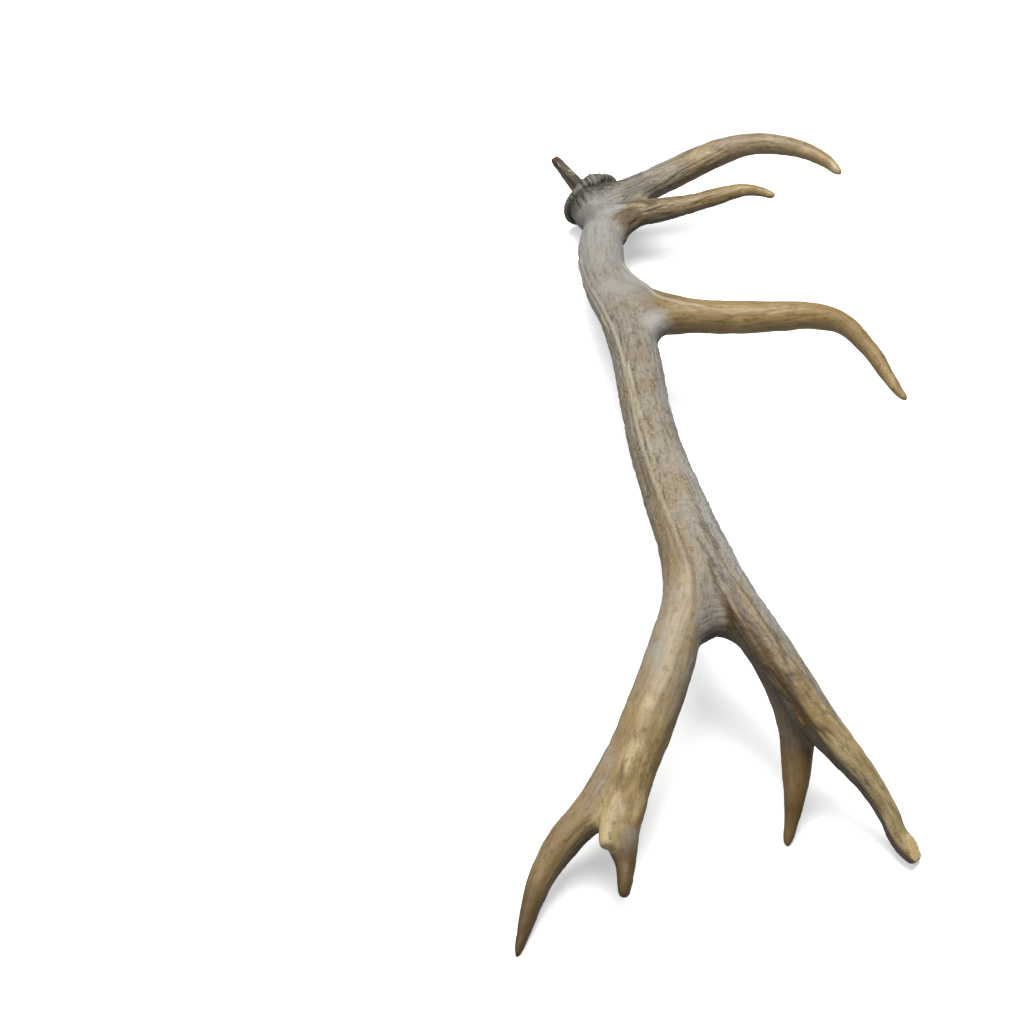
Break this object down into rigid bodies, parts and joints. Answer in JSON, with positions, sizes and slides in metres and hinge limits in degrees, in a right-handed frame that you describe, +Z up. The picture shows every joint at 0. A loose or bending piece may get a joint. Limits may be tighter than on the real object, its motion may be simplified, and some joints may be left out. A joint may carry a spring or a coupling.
{
  "type": "deer antler",
  "caption": "Curved antler beam with a pearled burr, long forward tines and a forked crown, lying on its side, with a whittled wooden peg in its sawn base.",
  "frame": {"origin": "under the middle of the bounding box, on the surface that the antler lies on", "axes": "+Y along the antler, from the crown to the burr; +X to the side that the tines near the burr point to; +Z up"},
  "size_m": [0.3615, 0.9696, 0.1317],
  "materials": {
    "antler_bone": "satin",
    "peg_wood": "matte"
  },
  "bodies": {
    "root": {"main_beam": "antler_bone", "brow_tine": "antler_bone", "bez_tine": "antler_bone", "trez_tine": "antler_bone", "rear_crown_branch": "antler_bone", "rear_crown_tine": "antler_bone", "front_crown_branch": "antler_bone", "inner_crown_tine": "antler_bone", "peg": "peg_wood"}
  },
  "joints": []
}
